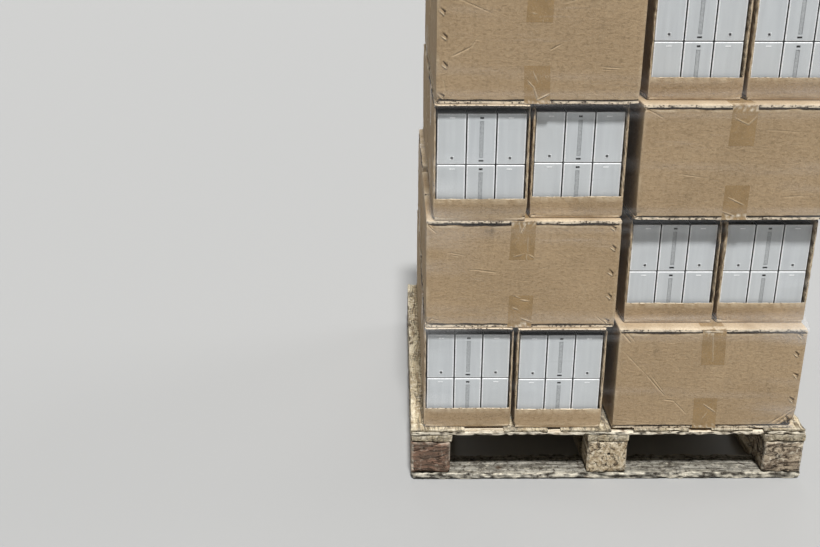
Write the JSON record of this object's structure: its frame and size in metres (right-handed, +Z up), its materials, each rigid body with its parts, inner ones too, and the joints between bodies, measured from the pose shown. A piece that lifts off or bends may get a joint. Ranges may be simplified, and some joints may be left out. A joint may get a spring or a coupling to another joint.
{
  "type": "shrink wrapped pallet load",
  "caption": "Square wooden pallet stacked with corrugated cartons and open-fronted display cartons of white packs, taped and wound in clear film.",
  "frame": {"origin": "on the floor under the middle of the pallet", "axes": "+Z up; the front, with the display cartons, faces -Y; +X to the right seen from the front"},
  "size_m": [1.1, 1.1, 1.3574],
  "materials": {
    "pallet_wood": "rough sawn, dirty",
    "carton_board": "matt kraft",
    "white_board": "satin coated",
    "packing_tape": "glossy brown film, creased",
    "stretch_film": "clear stretch film"
  },
  "bodies": {
    "root": {"base_board_back": "pallet_wood", "base_board_front": "pallet_wood", "base_runner_left": "pallet_wood", "base_runner_middle": "pallet_wood", "base_runner_right": "pallet_wood", "block_back_left": "pallet_wood", "block_back_middle": "pallet_wood", "block_back_right": "pallet_wood", "block_front_left": "pallet_wood", "block_front_middle": "pallet_wood", "block_front_right": "pallet_wood", "block_middle_left": "pallet_wood", "block_middle_middle": "pallet_wood", "block_middle_right": "pallet_wood", "cross_board_back": "pallet_wood", "cross_board_front": "pallet_wood", "cross_board_middle": "pallet_wood", "deck_slats": "pallet_wood", "layer1_back_across_cartons": "carton_board", "layer1_back_end_on_cartons": "carton_board", "layer1_display_carton_left": "carton_board", "layer1_display_carton_right": "carton_board", "layer1_front_across_cartons": "carton_board", "layer1_inner_packs": "white_board", "layer1_packs_left": "white_board", "layer1_packs_right": "white_board", "layer1_tape": "packing_tape", "layer2_back_across_cartons": "carton_board", "layer2_back_end_on_cartons": "carton_board", "layer2_display_carton_left": "carton_board", "layer2_display_carton_right": "carton_board", "layer2_front_across_cartons": "carton_board", "layer2_inner_packs": "white_board", "layer2_packs_left": "white_board", "layer2_packs_right": "white_board", "layer2_tape": "packing_tape", "layer3_back_across_cartons": "carton_board", "layer3_back_end_on_cartons": "carton_board", "layer3_display_carton_left": "carton_board", "layer3_display_carton_right": "carton_board", "layer3_front_across_cartons": "carton_board", "layer3_inner_packs": "white_board", "layer3_packs_left": "white_board", "layer3_packs_right": "white_board", "layer3_tape": "packing_tape", "layer4_back_across_cartons": "carton_board", "layer4_back_end_on_cartons": "carton_board", "layer4_display_carton_left": "carton_board", "layer4_display_carton_right": "carton_board", "layer4_front_across_cartons": "carton_board", "layer4_inner_packs": "white_board", "layer4_packs_left": "white_board", "layer4_packs_right": "white_board", "layer4_tape": "packing_tape", "stretch_film": "stretch_film", "stringer_board_left": "pallet_wood", "stringer_board_middle": "pallet_wood", "stringer_board_right": "pallet_wood"}
  },
  "joints": []
}
